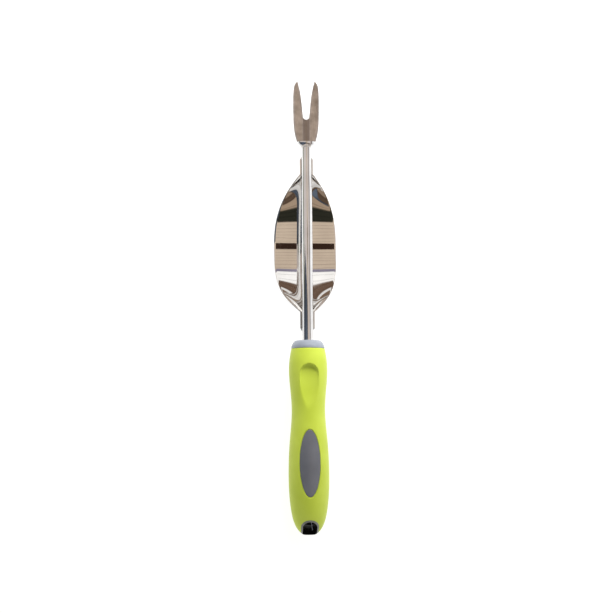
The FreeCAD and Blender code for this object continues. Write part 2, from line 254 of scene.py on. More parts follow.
def moulded_polypropylene(name, shade, light, roughness, grain_strength):
    """Injection-moulded PP from a spark-eroded mould: satin, with a fine grain and faint flow shading."""
    made, tree = bare_material(name)
    place = add(tree, "ShaderNodeTexCoord").outputs["Object"]
    # spark-eroded grain, 0.4 mm
    grain = add(tree, "ShaderNodeTexNoise", {"Vector": place}, Scale=2400.0, Detail=2.0).outputs["Fac"]
    flow = add(tree, "ShaderNodeTexNoise", {"Vector": place}, Scale=70.0, Detail=3.0).outputs["Fac"]
    tint = add(tree, "ShaderNodeValToRGB", {"Fac": flow}, [(0.3, shade), (0.7, light)])
    rough = add(tree, "ShaderNodeMapRange", {"Value": grain}, To_Min=roughness - 0.05,
                To_Max=roughness + 0.08)
    bump = add(tree, "ShaderNodeBump", {"Height": grain}, Strength=grain_strength, Distance=0.00005)
    shader = add(tree, "ShaderNodeBsdfPrincipled",
                 {"Base Color": tint.outputs["Color"], "Roughness": rough.outputs["Result"],
                  "Normal": bump.outputs["Normal"]}, IOR=1.49)
    return surfaced(made, tree, shader)


def eye_polypropylene_with_painted_shade():
    """PP eye in mid grey, with painted shade: its bore is painted near black and its outward rim keeps the
    grey.
    """
    made, tree = bare_material("eye_polypropylene_painted_bore_shade")
    place = add(tree, "ShaderNodeTexCoord").outputs["Object"]
    facing = add(tree, "ShaderNodeVectorMath", {0: add(tree, "ShaderNodeNewGeometry").outputs["Normal"]},
                 operation="DOT_PRODUCT")
    facing.inputs[1].default_value = HOLE_OUT_LAID
    # the grey and the gloss vary at random in 3 mm patches
    eye_mottle = add(tree, "ShaderNodeTexNoise", {"Vector": place}, Scale=330.0, Detail=3.0).outputs["Fac"]
    outward = add(tree, "ShaderNodeMapRange", {"Value": facing.outputs["Value"]},
                  From_Min=0.55, From_Max=0.75)
    # painted shade: more than about 4 mm into the hole, and on walls that don't face out, the eye is painted
    # near black
    along = add(tree, "ShaderNodeVectorMath", {0: place}, operation="DOT_PRODUCT")
    along.inputs[1].default_value = HOLE_OUT_LAID
    face_at = as_laid(HOLE_PLACE).dot(HOLE_OUT_LAID)
    reach = add(tree, "ShaderNodeMapRange", {"Value": along.outputs["Value"]}, From_Min=face_at - 4.5 * MM,
                From_Max=face_at - 3.5 * MM).outputs["Result"]
    rim = add(tree, "ShaderNodeMath", {0: outward.outputs["Result"], 1: reach}, operation="MULTIPLY")
    rim_grey = add(tree, "ShaderNodeValToRGB", {"Fac": eye_mottle}, [(0.3, "#75756f"), (0.7, "#8b8b86")])
    # painted shade: near black in the bore, the eye's mid grey on the rim
    tint = add(tree, "ShaderNodeMixRGB", {"Fac": rim.outputs[0], "Color2": rim_grey.outputs["Color"]},
               Color1=colour("#1d1c1b"))
    rough = add(tree, "ShaderNodeMapRange", {"Value": eye_mottle}, To_Min=0.32, To_Max=0.46)
    shader = add(tree, "ShaderNodeBsdfPrincipled",
                 {"Base Color": tint.outputs["Color"], "Roughness": rough.outputs["Result"]}, IOR=1.49)
    return surfaced(made, tree, shader)


def soft_touch_elastomer():
    """Thermoplastic elastomer moulded over the core: lime, matte, with a velvety sheen and a fine grain."""
    made, tree = bare_material("lime_soft_touch_elastomer")
    place = add(tree, "ShaderNodeTexCoord").outputs["Object"]
    # mould grain, 0.5 mm
    grain = add(tree, "ShaderNodeTexNoise", {"Vector": place}, Scale=1900.0, Detail=3.0).outputs["Fac"]
    handling = add(tree, "ShaderNodeTexNoise", {"Vector": place}, Scale=42.0, Detail=5.0).outputs["Fac"]
    tint = add(tree, "ShaderNodeValToRGB", {"Fac": handling}, [(0.3, "#bccd37"), (0.7, "#c8d849")])
    rough = add(tree, "ShaderNodeMapRange", {"Value": handling}, To_Min=0.5, To_Max=0.68)
    bump = add(tree, "ShaderNodeBump", {"Height": grain}, Strength=0.16, Distance=0.00008)
    shader = add(tree, "ShaderNodeBsdfPrincipled",
                 {"Base Color": tint.outputs["Color"], "Roughness": rough.outputs["Result"],
                  "Normal": bump.outputs["Normal"]},
                 IOR=1.5, Sheen_Weight=0.2, Sheen_Roughness=0.4)
    return surfaced(made, tree, shader)


BUFFED_TUBE = polished_stainless_tube()
MIRROR_SHEET = mirror_polished_sheet()
LINISHED_BLADE = linished_stainless()
WELD_BEAD = weld_stainless()
GREY_PP = moulded_polypropylene("grey_moulded_polypropylene", "#898f99", "#999fa9", 0.22, 0.08)
DARK_PP = moulded_polypropylene("dark_grey_moulded_polypropylene", "#65666c", "#6f7076", 0.33, 0.12)
EYE_PP = eye_polypropylene_with_painted_shade()
LIME_TPE = soft_touch_elastomer()


# Shaping

def smooth_line(points, count):
    """A natural cubic through the points, by chord length, read at count places."""
    knots = [0.0]
    for before, after in zip(points, points[1:]):
        knots.append(knots[-1] + math.dist(before, after))
    last = len(points) - 1
    gaps = [knots[i + 1] - knots[i] for i in range(last)]
    bends = []
    for axis in range(len(points[0])):
        upper, right = [0.0], [0.0]
        for i in range(1, last):
            pull = 6 * ((points[i + 1][axis] - points[i][axis]) / gaps[i]
                        - (points[i][axis] - points[i - 1][axis]) / gaps[i - 1])
            pivot = 2 * (gaps[i - 1] + gaps[i]) - gaps[i - 1] * upper[-1]
            upper.append(gaps[i] / pivot)
            right.append((pull - gaps[i - 1] * right[-1]) / pivot)
        bend = [0.0] * (last + 1)
        for i in range(last - 1, 0, -1):
            bend[i] = right[i] - upper[i] * bend[i + 1]
        bends.append(bend)
    line = []
    span = 0
    for step in range(count + 1):
        at = knots[-1] * step / count
        while span < last - 1 and at > knots[span + 1]:
            span += 1
        gap = gaps[span]
        b = (at - knots[span]) / gap
        a = 1 - b
        line.append(tuple(
            a * points[span][axis] + b * points[span + 1][axis]
            + ((a ** 3 - a) * bends[axis][span] + (b ** 3 - b) * bends[axis][span + 1]) * gap * gap / 6
            for axis in range(len(points[0]))))
    return line


def read_line(line, station):
    """Values of a line of (station, ...) points at one station."""
    low, high = 0, len(line) - 1
    while high - low > 1:
        middle = (low + high) // 2
        if line[middle][0] <= station:
            low = middle
        else:
            high = middle
    before, after = line[low], line[high]
    share = (station - before[0]) / max(after[0] - before[0], 1e-9)
    share = min(max(share, 0.0), 1.0)
    return [p + (q - p) * share for p, q in zip(before[1:], after[1:])]


def smoothstep(low, high, value):
    share = min(max((value - low) / (high - low), 0.0), 1.0)
    return share * share * (3 - 2 * share)


def soft_least(first, second, softness):
    """The lesser of two heights, blended where they are close."""
    gap = max(softness - abs(first - second), 0.0) / softness
    return min(first, second) - gap * gap * softness / 4


MERGE_GAP = 0.001


def piece_from(name, verts, faces, finish, replaced=None, smooth_angle=40.0):
    mesh = bpy.data.meshes.new(name)
    mesh.from_pydata([as_laid(v) for v in verts], [], faces)
    shaped = bmesh.new()
    shaped.from_mesh(mesh)
    bmesh.ops.remove_doubles(shaped, verts=shaped.verts, dist=MERGE_GAP * MM)
    bmesh.ops.dissolve_degenerate(shaped, edges=shaped.edges, dist=MERGE_GAP * MM)
    bmesh.ops.recalc_face_normals(shaped, faces=shaped.faces)
    shaped.to_mesh(mesh)
    shaped.free()
    mesh.materials.append(finish)
    piece = bpy.data.objects.new(name, mesh)
    bpy.context.scene.collection.objects.link(piece)
    mesh.shade_smooth()
    mesh.set_sharp_from_angle(angle=math.radians(smooth_angle))
    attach(piece, "root")
    if replaced:
        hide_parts(replaced)
    return piece


def settle(piece, smooth_angle=40.0):
    """Fixes the piece's modifiers into its mesh."""
    shaped = bpy.data.meshes.new_from_object(piece.evaluated_get(bpy.context.evaluated_depsgraph_get()))
    piece.modifiers.clear()
    piece.data = shaped
    shaped.shade_smooth()
    shaped.set_sharp_from_angle(angle=math.radians(smooth_angle))


def loops_to_mesh(loops, caps=True, closed_along=False):
    """Faces between closed loops of equal length, with a face over each end."""
    count = len(loops[0])
    verts = [point for loop in loops for point in loop]
    rows = len(loops) if closed_along else len(loops) - 1
    faces = []
    for row in range(rows):
        here, there = row * count, (row + 1) % len(loops) * count
        for k in range(count):
            after = (k + 1) % count
            faces.append((here + k, here + after, there + after, there + k))
    if caps and not closed_along:
        faces.append(tuple(range(count)))
        faces.append(tuple(range(len(verts) - count, len(verts))))
    return verts, faces


def turned(profile, sides, depth_ratio=1.0):
    """Loops round the shaft's line from (station, radius) points, flattened by depth_ratio."""
    loops = []
    for station, radius in profile:
        loops.append([(radius * math.cos(a), station, radius * depth_ratio * math.sin(a))
                      for a in (2 * math.pi * k / sides for k in range(sides))])
    return loops


# Shaft tube, hollow, with a swaged neck

def shaft_tube():
    start, swage, neck_start, neck = TUBE_PROFILE
    steps = 12
    outer = [start, (start[0] + 60, start[1]), (swage[0] - 40, swage[1])]
    for k in range(steps + 1):
        share = k / steps
        outer.append((swage[0] + (neck_start[0] - swage[0]) * share,
                      swage[1] + (neck_start[1] - swage[1]) * smoothstep(0, 1, share)))
    outer.append(neck)
    inner = [(station, radius - TUBE_WALL) for station, radius in reversed(outer)]
    verts, faces = loops_to_mesh(turned(outer + inner, 64), closed_along=True)
    piece_from("shaft_tube_drawn", verts, faces, BUFFED_TUBE, "shaft_tube", 50.0)


# Fulcrum plate, pressed from sheet, its ends rolled round the tube as tabs

PLATE_THICKNESS = 1.5
PLATE_HALF_WIDTH = 23.8
PLATE_BOW = 18.0
PLATE_DISH = 3.4
TAB_WRAP = 78.0
TAB_END_WRAP = 62.0
TAB_END_ROUNDING = 1.5
FRONT_TAB_RADIUS = 3.85
REAR_TAB_RADIUS = 4.3
MEAN_TAB_RADIUS = 0.5 * (FRONT_TAB_RADIUS + REAR_TAB_RADIUS)
CURL_SHARPNESS = 7.0
BOW_SHARPNESS = 1.5


def plate_strip(station, inner_radius, wrap_deg, low_point):
    """A closed loop across the plate: inner arc, rolled edge, outer arc, rolled edge."""
    across, edge_steps, edge_bulge = 44, 6, 0.45
    centre = low_point + inner_radius
    half = PLATE_THICKNESS / 2
    middle_radius = inner_radius + half
    wrap = math.radians(wrap_deg) - edge_bulge / middle_radius

    def at(radius, angle):
        return (radius * math.sin(angle), station, centre - radius * math.cos(angle))

    inner = [at(inner_radius, -wrap + 2 * wrap * k / across) for k in range(across + 1)]
    outer = [at(inner_radius + PLATE_THICKNESS, wrap - 2 * wrap * k / across) for k in range(across + 1)]
    rim = []
    for k in range(1, edge_steps):
        turn = math.pi * k / edge_steps
        rim.append((middle_radius - half * math.cos(turn), edge_bulge * math.sin(turn) / middle_radius))
    right = [at(radius, wrap + more) for radius, more in rim]
    left = [at(radius, -wrap - more) for radius, more in reversed(rim)]
    return inner + right + outer + left


def plate_loops(middle, tab_start, tab_end, tab_radius, fullness):
    """Loops from the middle of the bow out to the end of one tab."""
    rows = 90
    tab_half_width = (tab_radius + PLATE_THICKNESS) * math.sin(math.radians(TAB_WRAP))
    loops = []
    for step in range(rows + 1):
        share = 1 - (1 - step / rows) ** 1.35
        half_width = tab_half_width + (PLATE_HALF_WIDTH - tab_half_width) * (1 - share ** fullness)
        wrap_deg = PLATE_DISH + (TAB_WRAP - PLATE_DISH) * share ** CURL_SHARPNESS
        inner_radius = half_width / math.sin(math.radians(wrap_deg)) - PLATE_THICKNESS
        clear = MEAN_TAB_RADIUS + (tab_radius - MEAN_TAB_RADIUS) * share
        low_point = -clear - PLATE_BOW * (1 - share ** 2) ** BOW_SHARPNESS
        loops.append(plate_strip(middle + (tab_start - middle) * share, inner_radius, wrap_deg, low_point))
    direction = math.copysign(1, tab_end - tab_start)
    rounding_start = tab_end - direction * TAB_END_ROUNDING
    for share in (0.25, 0.5, 0.75):
        station = tab_start + (rounding_start - tab_start) * share
        loops.append(plate_strip(station, tab_radius, TAB_WRAP, -tab_radius))
    for turn_deg in (0, 18, 36, 54, 72, 90):
        turn = math.radians(turn_deg)
        wrap_deg = TAB_END_WRAP + (TAB_WRAP - TAB_END_WRAP) * math.cos(turn)
        station = rounding_start + direction * TAB_END_ROUNDING * math.sin(turn)
        loops.append(plate_strip(station, tab_radius, wrap_deg, -tab_radius))
    return loops


def fulcrum_plate():
    middle = 0.5 * (PLATE_FRONT_TAB[0] + PLATE_REAR_TAB[0])
    front = plate_loops(middle, *PLATE_FRONT_TAB, FRONT_TAB_RADIUS, 2.5)
    rear = plate_loops(middle, *PLATE_REAR_TAB, REAR_TAB_RADIUS, 3.6)
    verts, faces = loops_to_mesh(list(reversed(rear)) + front[1:])
    piece_from("fulcrum_plate_pressed", verts, faces, MIRROR_SHEET, "fulcrum_plate", 50.0)


# Fork: a flat blade with two prongs, a shallow stamped trough, and a domed shoulder

def blade_half(side):
    length = FORK_TIP - BLADE_ROOT
    outer = smooth_line([(BLADE_ROOT + share * length, x) for share, x in BLADE_OUTER_EDGE], 200)
    notch_centre = NOTCH_BOTTOM + NOTCH_RADIUS
    inner = smooth_line([(notch_centre, NOTCH_RADIUS)]
                        + [(BLADE_ROOT + share * length, x) for share, x in reversed(PRONG_INNER_EDGE)], 200)
    half = BLADE_THICKNESS / 2
    bend = BLADE_ROOT + BEND_SHARE * length
    tip_top, tip_low = TIP_RISE + TIP_THICKNESS / 2, TIP_RISE - TIP_THICKNESS / 2
    top_line = smooth_line([(BLADE_ROOT, half), (bend, half), (FORK_TIP + 1, tip_top)], 80)
    low_line = smooth_line([(BLADE_ROOT, -half), (bend, -half), (FORK_TIP + 1, tip_low)], 80)
    stations = [BLADE_ROOT + (NOTCH_BOTTOM - BLADE_ROOT) * k / 16 for k in range(16)]
    notch_row = len(stations)
    stations += [notch_centre - NOTCH_RADIUS * math.cos(math.radians(turn)) for turn in range(0, 90, 9)]
    stations += [notch_centre + (FORK_TIP - notch_centre) * (1 - (1 - k / 46) ** 1.4) for k in range(47)]
    columns = 14
    trough_radius = TROUGH_WIDTH ** 2 / (8 * TROUGH_DEPTH)
    top, low = [], []
    for row, station in enumerate(stations):
        outside = read_line(outer, station)[0]
        if row < notch_row:
            inside = 0.0
        elif station < notch_centre:
            inside = math.sqrt(max(NOTCH_RADIUS ** 2 - (notch_centre - station) ** 2, 0.0))
        else:
            inside = read_line(inner, station)[0]
        level = read_line(top_line, station)[0]
        under = read_line(low_line, station)[0]
        top_row, low_row = [], []
        for k in range(columns + 1):
            if inside > 0:
                x = inside + (outside - inside) * 0.5 * (1 - math.cos(math.pi * k / columns))
                edge = min(outside - x, x - inside)
            else:
                x = outside * math.sin(0.5 * math.pi * k / columns)
                edge = outside - x
            thinned = min((level - under) / BLADE_THICKNESS, 1)
            grind = EDGE_GRIND_DEPTH * max(1 - edge / EDGE_GRIND, 0.0) ** 2 * thinned
            dip = 0.0
            if x < TROUGH_WIDTH / 2 and station < notch_centre:
                dip = TROUGH_DEPTH - (trough_radius - math.sqrt(trough_radius ** 2 - x ** 2))
            top_row.append((side * x, station, level - grind - dip))
            low_row.append((side * x, station, under + 0.5 * grind))
        top.append(top_row)
        low.append(low_row)
    verts = [p for row in top for p in row] + [p for row in low for p in row]
    wide = columns + 1
    below = len(stations) * wide
    faces = []
    for row in range(len(stations) - 1):
        for k in range(columns):
            a, b = row * wide + k, (row + 1) * wide + k
            faces.append((a, a + 1, b + 1, b))
            faces.append((below + a, below + b, below + b + 1, below + a + 1))
        a, b = row * wide, (row + 1) * wide
        faces.append((a + columns, below + a + columns, below + b + columns, b + columns))
        if row >= notch_row:
            faces.append((a, b, below + b, below + a))
    for k in range(columns):
        faces.append((k, below + k, below + k + 1, k + 1))
    return verts, faces


def fork_head():
    verts, faces = [], []
    for side in (1, -1):
        half_verts, half_faces = blade_half(side)
        faces += [tuple(i + len(verts) for i in face) for face in half_faces]
        verts += half_verts
    # the domed shoulder behind the blade, and the neck that enters the tube
    dome_length = DOME_FULLNESS * (BLADE_ROOT - NECK)
    dome = [(BLADE_ROOT + 0.02, SHOULDER_RADIUS - 0.02)]
    for k in range(13):
        station = BLADE_ROOT - (BLADE_ROOT - NECK) * k / 12
        dome.append((station, SHOULDER_RADIUS * math.sqrt(1 - ((BLADE_ROOT - station) / dome_length) ** 2)))
    neck = [(NECK - NECK_SPIGOT_LENGTH, NECK_SPIGOT_RADIUS), (NECK - 0.1, NECK_SPIGOT_RADIUS),
            (NECK - 0.05, NECK_LAND_RADIUS), (BLADE_ROOT, NECK_LAND_RADIUS)]
    for loops in (turned(dome, 64, SHOULDER_DEPTH / SHOULDER_RADIUS), turned(neck, 48)):
        more_verts, more_faces = loops_to_mesh(loops)
        faces += [tuple(i + len(verts) for i in face) for face in more_faces]
        verts += more_verts
    piece = piece_from("fork_head_ground", verts, faces, LINISHED_BLADE, "fork_head", 35.0)
    piece.data.materials.append(BUFFED_TUBE)
    shoulder_line = as_laid((0, BLADE_ROOT + 0.015, 0)).y
    for face in piece.data.polygons:
        if face.center.y < shoulder_line:
            face.material_index = 1
    edges = piece.modifiers.new("ground_edges", "BEVEL")
    edges.width = GROUND_EDGE * MM
    edges.segments = 3
    edges.limit_method = "ANGLE"
    edges.angle_limit = math.radians(50)
    settle(piece, 35.0)


# Handle

HANDLE_LINE = smooth_line(HANDLE_OUTLINE, 2400)
BADGE_STATION = 53.4
BADGE_HALF_LENGTH = 24.6
BADGE_HALF_WIDTH = 7.6
BADGE_CLEARANCE = 0.35
BADGE_EDGE_RADIUS = 0.3
BADGE_SINK = 0.1
BADGE_SKIRT = 1.0
POCKET_DEPTH = 0.9
SLEEVE_WALL = 1.2
SCOOP_TAIL = 94.6
SCOOP_HEAD = 126.6
SCOOP_HEAD_RADIUS = 8.0
SCOOP_DEPTH = 4.0
SCOOP_RADIUS = 20.0
SCOOP_RUN_IN = 6.0
SCOOP_RUN_OUT = 4.0
SCOOP_HALF_REACH = 11.0
LIP_WIDTH = 1.6
LIP_STEEPNESS = 1.9
LIP_SOFTNESS = 0.7


def handle_height(x, station):
    """How high the handle's thumb side stands at a place in plan."""
    half_width, half_depth = read_line(HANDLE_LINE, station)
    return half_depth * math.sqrt(max(1 - (x / half_width) ** 2, 0.0))


def scooped(x, station, height):
    """The height once the thumb's scoop is pressed in, with its soft lip."""
    in_length = SCOOP_TAIL - SCOOP_RUN_IN < station < SCOOP_HEAD + SCOOP_RUN_OUT
    if not in_length or abs(x) > SCOOP_HALF_REACH:
        return height
    run = SCOOP_HEAD - SCOOP_TAIL
    share = (station - SCOOP_TAIL) / run
    sink = SCOOP_DEPTH * (1 - (1 - share) ** 2) if share > 0 else 2 * SCOOP_DEPTH * share
    floor_height = handle_height(0, station) - sink + x * x / (2 * SCOOP_RADIUS)
    head_centre = SCOOP_HEAD - SCOOP_HEAD_RADIUS
    if station > head_centre:
        reach = math.hypot(x, station - head_centre)
    else:
        reach = abs(x)
    floor_height += LIP_STEEPNESS * max(reach - SCOOP_HEAD_RADIUS + LIP_WIDTH, 0.0) ** 1.5
    return soft_least(height, floor_height, LIP_SOFTNESS)


def badge_pocket(x, station):
    """How deep the sleeve is let in for the badge."""
    spread = math.hypot(x / BADGE_HALF_WIDTH, (station - BADGE_STATION) / BADGE_HALF_LENGTH)
    return POCKET_DEPTH * (1 - smoothstep(0.985, 1.03, spread))


def grip_sleeve():
    sides = 208
    loops = []
    rows = smooth_line(HANDLE_OUTLINE, 330)
    rolled = [(SLEEVE_FRONT - 0.05, -0.12), (SLEEVE_FRONT, -0.4)]
    stations = [(station, 0.0) for station, _, _ in rows if station < SLEEVE_FRONT - 0.3] + rolled
    for station, grow in stations:
        half_width, half_depth = read_line(HANDLE_LINE, station)
        loop = []
        for k in range(sides):
            turn = 2 * math.pi * k / sides
            x = (half_width + grow) * math.cos(turn)
            z = (half_depth + grow) * math.sin(turn)
            if z > 0:
                z = scooped(x, station, z) - badge_pocket(x, station)
            loop.append((x, station, z))
        loops.append(loop)
    verts, faces = loops_to_mesh(loops, caps=False)
    faces.append(tuple(range(sides)))
    piece = piece_from("grip_sleeve_moulded", verts, faces, LIME_TPE, "grip_sleeve", 60.0)
    wall = piece.modifiers.new("wall", "SOLIDIFY")
    wall.thickness = SLEEVE_WALL * MM
    wall.offset = -1.0
    settle(piece, 60.0)
    # cut a hair smaller than the eye's rim, so that no gap shows between them
    cutter = hole_cutter(HOLE_RIM - 0.02)
    cut = piece.modifiers.new("hang_hole", "BOOLEAN")
    cut.operation = "DIFFERENCE"
    cut.solver = "EXACT"
    cut.object = cutter
    settle(piece, 50.0)
    bpy.data.objects.remove(cutter)


def hole_cutter(grow):
    """The hang hole as a closed form: a round bore, and a mouth stretched round the end of the butt."""
    radius = HOLE_RADIUS + grow
    sides = 48
    past_the_back, past_the_mouth, ledge_step = 60, 30, 0.001
    across = Vector((1, 0, 0))
    outline_stretched, outline_round = [], []
    for k in range(sides):
        turn = 2 * math.pi * k / sides
        ring = across * math.cos(turn) * radius + HOLE_TO_BUTT * math.sin(turn) * radius
        shift = HOLE_TO_BUTT * (MOUTH_STRETCH if math.sin(turn) > 1e-6 else 0.0)
        outline_round.append(ring)
        outline_stretched.append(ring + shift)
    floor_at = HOLE_PLACE - HOLE_OUT * (MOUTH_DEPTH + grow)
    loops = [
        [HOLE_PLACE - HOLE_OUT * past_the_back + p for p in outline_round],
        [floor_at + p for p in outline_round],
        [floor_at + HOLE_OUT * ledge_step + p for p in outline_stretched],
        [HOLE_PLACE + HOLE_OUT * past_the_mouth + p for p in outline_stretched],
    ]
    verts, faces = loops_to_mesh(loops)
    mesh = bpy.data.meshes.new("hole_cutter")
    mesh.from_pydata([as_laid(v) for v in verts], [], faces)
    shaped = bmesh.new()
    shaped.from_mesh(mesh)
    bmesh.ops.recalc_face_normals(shaped, faces=shaped.faces)
    shaped.to_mesh(mesh)
    shaped.free()
    cutter = bpy.data.objects.new("hole_cutter", mesh)
    bpy.context.scene.collection.objects.link(cutter)
    return cutter


def oval_badge():
    rings, sides = 26, 144
    profile = [(k / rings, 0.0) for k in range(1, rings + 1)]
    edge = [(1.0 + BADGE_EDGE_RADIUS * math.sin(math.radians(turn)),
             BADGE_EDGE_RADIUS * (1 - math.cos(math.radians(turn)))) for turn in (20, 40, 60, 80)]
    loops = []
    for share, drop in profile + edge + [(1.0 + BADGE_EDGE_RADIUS, BADGE_SKIRT)]:
        loop = []
        for k in range(sides):
            turn = 2 * math.pi * k / sides
            grow = max(share - 1.0, 0.0)
            reach = min(share, 1.0)
            x = (reach * (BADGE_HALF_WIDTH - BADGE_CLEARANCE) + grow) * math.cos(turn)
            station = BADGE_STATION + (reach * (BADGE_HALF_LENGTH - BADGE_CLEARANCE) + grow) * math.sin(turn)
            loop.append((x, station, handle_height(x, station) - BADGE_SINK - drop))
        loops.append(loop)
    verts, faces = loops_to_mesh(loops)
    piece_from("oval_badge_inset", verts, faces, DARK_PP, "oval_badge", 60.0)


def front_collar():
    """A domed ring that closes the handle's mouth."""
    depth_ratio = 0.95
    spigot_radius, bore_radius = 7.0, 4.25
    spigot_back, step, bore_chamfer = SLEEVE_FRONT - 4, SLEEVE_FRONT + 0.02, 0.35
    # how far ahead of the sleeve, and the radius there
    crown = [(0.35, 12.42), (1.8, 12.25), (3.6, 11.45), (5.1, 10.4), (6.0, 9.0), (6.2, 7.4)]
    outline = smooth_line([(SLEEVE_FRONT + ahead, radius) for ahead, radius in crown], 40)
    back = [(spigot_back, spigot_radius), (step, spigot_radius), (step, 12.1), (step + 0.1, 12.3)]
    bore = [(COLLAR_FRONT, bore_radius + bore_chamfer), (COLLAR_FRONT - 0.25, bore_radius),
            (spigot_back, bore_radius)]
    profile = back + outline + bore
    verts, faces = loops_to_mesh(turned(profile, 96, depth_ratio), closed_along=True)
    piece_from("front_collar_domed", verts, faces, GREY_PP, "front_collar", 50.0)


def hang_hole_rib():
    """A fine moulding rib down the inside of the hang hole's mouth."""
    rib_radius, rows, sides = 0.28, 12, 10
    sideways = Vector((1, 0, 0))
    # each end as (to the side, towards the butt, outwards)
    start, end = (0.5, -4.6, -5.4), (2.5, 8.9, -4.2)
    loops = []
    for k in range(rows + 1):
        x, butt_way, outwards = (a + (b - a) * k / rows for a, b in zip(start, end))
        centre = HOLE_PLACE + sideways * x + HOLE_TO_BUTT * butt_way + HOLE_OUT * outwards
        turns = [2 * math.pi * j / sides for j in range(sides)]
        loops.append([centre + (sideways * math.cos(turn) + HOLE_OUT * math.sin(turn)) * rib_radius
                      for turn in turns])
    verts, faces = loops_to_mesh(loops)
    piece = piece_from("hang_hole_rib", verts, faces, GREY_PP)


# CAD pieces kept as they are, with their finishes
CAD_FINISH = {
    "fork_neck_weld": WELD_BEAD, "front_plate_weld": WELD_BEAD, "rear_plate_weld": WELD_BEAD,
    "handle_core": GREY_PP, "hang_hole_eye": EYE_PP, "shaft_retaining_pin": BUFFED_TUBE,
}
for node, finish in CAD_FINISH.items():
    carried = frame["nodes"][node]
    carried.data.materials.clear()
    carried.data.materials.append(finish)

shaft_tube()
fulcrum_plate()
fork_head()
grip_sleeve()
oval_badge()
front_collar()
hang_hole_rib()


# The stage: pale floor, soft light, camera

def floor():
    made, tree = bare_material("white_paper_sweep")
    place = add(tree, "ShaderNodeTexCoord").outputs["Object"]
    mottle = add(tree, "ShaderNodeTexNoise", {"Vector": place}, Scale=6.0, Detail=3.0).outputs["Fac"]
    tint = add(tree, "ShaderNodeValToRGB", {"Fac": mottle}, [(0.3, "#909090"), (0.7, "#989898")])
    shader = add(tree, "ShaderNodeBsdfPrincipled", {"Base Color": tint.outputs["Color"]}, Roughness=0.9)
    shader.inputs["Emission Color"].default_value = (1, 1, 1, 1)
    shader.inputs["Emission Strength"].default_value = 0.86
    surfaced(made, tree, shader)
    mesh = bpy.data.meshes.new("studio_floor")
    reach, drop = 4.0, -0.0005
    corners = [(-reach, -reach, drop), (reach, -reach, drop), (reach, reach, drop), (-reach, reach, drop)]
    mesh.from_pydata(corners, [], [(0, 1, 2, 3)])
    mesh.materials.append(made)
    piece = bpy.data.objects.new("studio_floor", mesh)
    bpy.context.scene.collection.objects.link(piece)


def soft_light(name, place, size, power):
    lamp = bpy.data.lights.new(name, "AREA")
    lamp.shape = "RECTANGLE"
    lamp.size, lamp.size_y = size
    lamp.energy = power
    piece = bpy.data.objects.new(name, lamp)
    piece.location = place
    piece.rotation_euler = (-Vector(place)).to_track_quat("-Z", "Y").to_euler()
    piece.visible_glossy = False
    piece.visible_camera = False
    bpy.context.scene.collection.objects.link(piece)


def flag(name, corners, shades):
    """A dark card that only the polished metal sees."""
    made, tree = bare_material(name)
    place = add(tree, "ShaderNodeTexCoord").outputs["Object"]
    patch = add(tree, "ShaderNodeTexNoise", {"Vector": place}, Scale=9.0, Detail=3.0).outputs["Fac"]
    tint = add(tree, "ShaderNodeValToRGB", {"Fac": patch}, [(0.35, shades[0]), (0.65, shades[1])])
    glow = add(tree, "ShaderNodeEmission", {"Color": tint.outputs["Color"]}, Strength=1.3)
    add(tree, "ShaderNodeOutputMaterial", {"Surface": glow.outputs[0]})
    mesh = bpy.data.meshes.new(name)
    mesh.from_pydata(corners, [], [tuple(range(len(corners)))])
    mesh.materials.append(made)
    piece = bpy.data.objects.new(name, mesh)
    for kind in ("camera", "diffuse", "transmission", "volume_scatter", "shadow"):
        setattr(piece, "visible_" + kind, False)
    bpy.context.scene.collection.objects.link(piece)


def flags():
    # over the middle of the plate's bow, where its mirror looks straight back up
    bow_middle = as_laid((0, 0.5 * (PLATE_FRONT_TAB[0] + PLATE_REAR_TAB[0]), 0)).y
    low, high, height = bow_middle - 0.004, bow_middle + 0.037, 0.22
    edge = [(0.005, low + 0.006), (0.012, low), (0.019, low + 0.005), (0.028, low + 0.001),
            (0.028, high - 0.007), (0.021, high), (0.015, high - 0.004), (0.009, high - 0.001),
            (0.005, high - 0.01)]
    flag("dark_flag_over_the_bow", [(x, y, height) for x, y in edge], ("#33241d", "#4a352b"))
    # beside the handle end of the shaft, tapering towards the fork
    (near_x, near_z), (far_x, far_z) = (-0.01, 0.45), (-0.5, 0.03)
    back, front, point = -0.5, 0.02, (-0.26, 0.075, 0.235)
    slate = [(near_x, back, near_z), (near_x, front, near_z), point,
             (far_x, front, far_z), (far_x, back, far_z)]
    flag("slate_flag_beside_the_shaft", slate, ("#303236", "#5d6878"))


# What the metal mirrors, by the angle in degrees from straight up, positive towards the butt
WORKSHOP_BANDS = [
    (-90, -80, "#f2f2f2"), (-80, -70, "#7d6858"), (-70, -66, "#eeeeee"), (-66, -56, "#6b574a"),
    (-56, -44, "#ffffff"), (-44, -40.4, "#8a8698"), (-40.4, 33, "#c8b7a5"), (33, 46.5, "#2b2b24"),
    (46.5, 53, "#a5917d"), (53, 62, "#58483c"), (62, 72, "#8f7d6d"), (72, 90, "#f4f4f4"),
]


